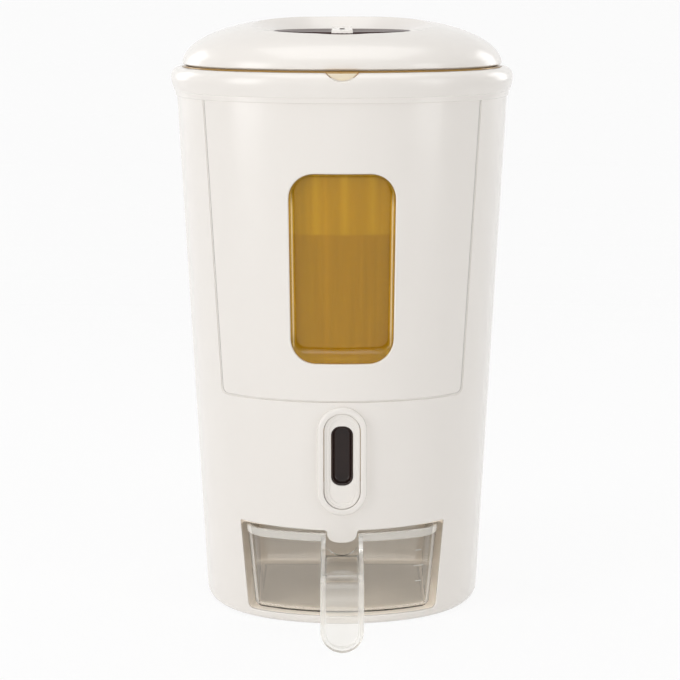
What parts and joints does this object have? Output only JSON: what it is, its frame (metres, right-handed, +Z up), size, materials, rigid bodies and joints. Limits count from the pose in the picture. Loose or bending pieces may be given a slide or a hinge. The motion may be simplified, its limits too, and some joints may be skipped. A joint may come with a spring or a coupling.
{
  "type": "rice dispenser",
  "caption": "Tapered countertop rice dispenser with hinged domed lid, dial, amber hopper and window, push-button gate and a clear slide-out measuring cup.",
  "frame": {"origin": "middle of the base plate's underside, on the surface it stands on", "axes": "+Z up, -Y to the front (window, button and cup handle), +X to the right seen from the front of the casing"},
  "size_m": [0.2452, 0.2952, 0.4227],
  "materials": {
    "casing": "warm white, semi-gloss moulded",
    "bay": "warm white, moulded",
    "amber_pane": "see-through amber, polished",
    "amber_bucket": "see-through amber, moulded",
    "smoke": "smoked brown, polished",
    "clear": "clear, polished",
    "inner": "off-white, moulded",
    "steel": "plain drawn steel",
    "seal": "soft, matte",
    "foot": "matte",
    "pointer": "dark brown, matte"
  },
  "bodies": {
    "casing": {"outer_shell": "casing", "front_panel": "casing", "window_pane": "amber_pane", "top_collar": "casing", "hinge_pin": "steel", "inner_bucket": "amber_bucket", "outlet_chute": "inner", "return_spring": "steel", "spring_pin": "steel", "drawer_bay": "bay", "button_bezel": "casing", "base_plate": "inner", "base_screws": "steel", "foot_front_left": "foot", "foot_front_right": "foot", "foot_rear_left": "foot", "foot_rear_right": "foot"},
    "lid": {"lid_shell": "casing", "lid_liner": "inner", "lid_seal": "seal", "desiccant_cup": "inner"},
    "dial": {"dial_cap": "smoke", "dial_grip": "casing", "dial_pointer": "pointer"},
    "button": {"button_plate": "casing", "button_insert": "smoke", "push_rod": "inner"},
    "gate": {"gate_plate": "inner"},
    "cup": {"measuring_cup": "clear"}
  },
  "joints": [
    {"name": "lid_hinge", "type": "hinge", "parent": "casing", "child": "lid", "pos_m": [0, 0.1245, 0.3915], "axis": [-1, 0, 0], "range_deg": [0, 100]},
    {"name": "dial_turn", "type": "hinge", "parent": "lid", "child": "dial", "pos_m": [0, -0.038, 0.411], "axis": [0, 0, 1], "range_deg": [0, 90]},
    {"name": "button_press", "type": "slide", "parent": "casing", "child": "button", "axis": [0, 0.9987, 0.0503], "range_m": [0, 0.00825], "stiffness_N_per_m": 400, "springref_m": -0.003},
    {"name": "gate_slide", "type": "slide", "parent": "casing", "child": "gate", "axis": [0, 1, 0], "range_m": [0, 0.00825], "deforming": ["return_spring"]},
    {"name": "cup_slide", "type": "slide", "parent": "casing", "child": "cup", "axis": [0, -1, 0], "range_m": [0, 0.1]}
  ],
  "couplings": [
    {"joint": "gate_slide", "follows": "button_press", "ratio": 0.99873}
  ]
}
